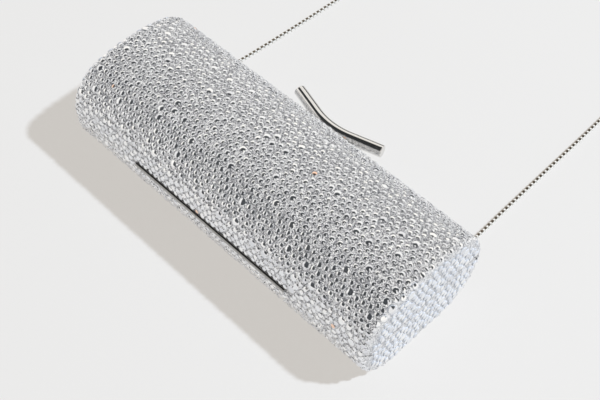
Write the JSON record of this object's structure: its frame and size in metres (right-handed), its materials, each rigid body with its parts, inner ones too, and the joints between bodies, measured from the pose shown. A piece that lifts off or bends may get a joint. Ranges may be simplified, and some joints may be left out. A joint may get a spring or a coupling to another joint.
{
  "type": "minaudiere",
  "caption": "Hard oblong evening bag in two rounded halves paved with clear crystals, hinged along one long edge, with a bent bar clasp that lifts to open it and a fine chain.",
  "frame": {"origin": "centre of the flat back face that the bag lies on", "axes": "+X along the hinge, +Y from the hinge edge towards the clasp edge, +Z from the back to the front face"},
  "size_m": [0.2, 0.2916, 0.0532],
  "materials": {
    "crystal": "faceted, foil-backed, clear",
    "shell": "plain, covered on both sides",
    "nickel": "polished nickel plate",
    "steel": "bright",
    "spring": "blued spring strip",
    "lining": "grey satin",
    "chain": "polished, square box links",
    "tie": "soft, pale grey"
  },
  "bodies": {
    "back_half": {"back_crystals": "crystal", "back_shell": "shell", "back_frame": "nickel", "back_lining": "lining", "hinge_leaf_back": "nickel", "hinge_pin": "steel", "hinge_rivets_back": "steel", "catch_plate": "steel", "catch_rivets": "steel", "chain_lug_left": "nickel", "chain_lug_right": "nickel", "lug_rivets": "steel", "chain_ring_left": "nickel", "chain_ring_right": "nickel", "chain_end_left": "nickel", "chain_end_right": "nickel", "chain_left_run": "chain", "chain_right_run": "chain", "chain_coil": "chain", "coil_tie": "tie"},
    "front_half": {"front_crystals": "crystal", "front_shell": "shell", "front_frame": "nickel", "front_lining": "lining", "hinge_leaf_front": "nickel", "hinge_rivets_front": "steel", "lever_bracket": "steel", "bracket_rivets": "steel", "lever_pin": "steel", "lever_spring": "spring"},
    "clasp_lever": {"clasp_rocker": "steel", "clasp_stem": "nickel", "stem_rivet": "steel", "clasp_bar": "nickel"}
  },
  "joints": [
    {"name": "lid_hinge", "type": "hinge", "parent": "back_half", "child": "front_half", "pos_m": [0, -0.0388, 0.027], "axis": [1, 0, 0], "range_deg": [0, 95]},
    {"name": "clasp_lift", "type": "hinge", "parent": "front_half", "child": "clasp_lever", "pos_m": [0, 0.0304, 0.03], "axis": [1, 0, 0], "range_deg": [0, 10], "stiffness_Nm_per_rad": 0.02, "springref_deg": -14.32, "deforming": ["lever_spring"]}
  ]
}
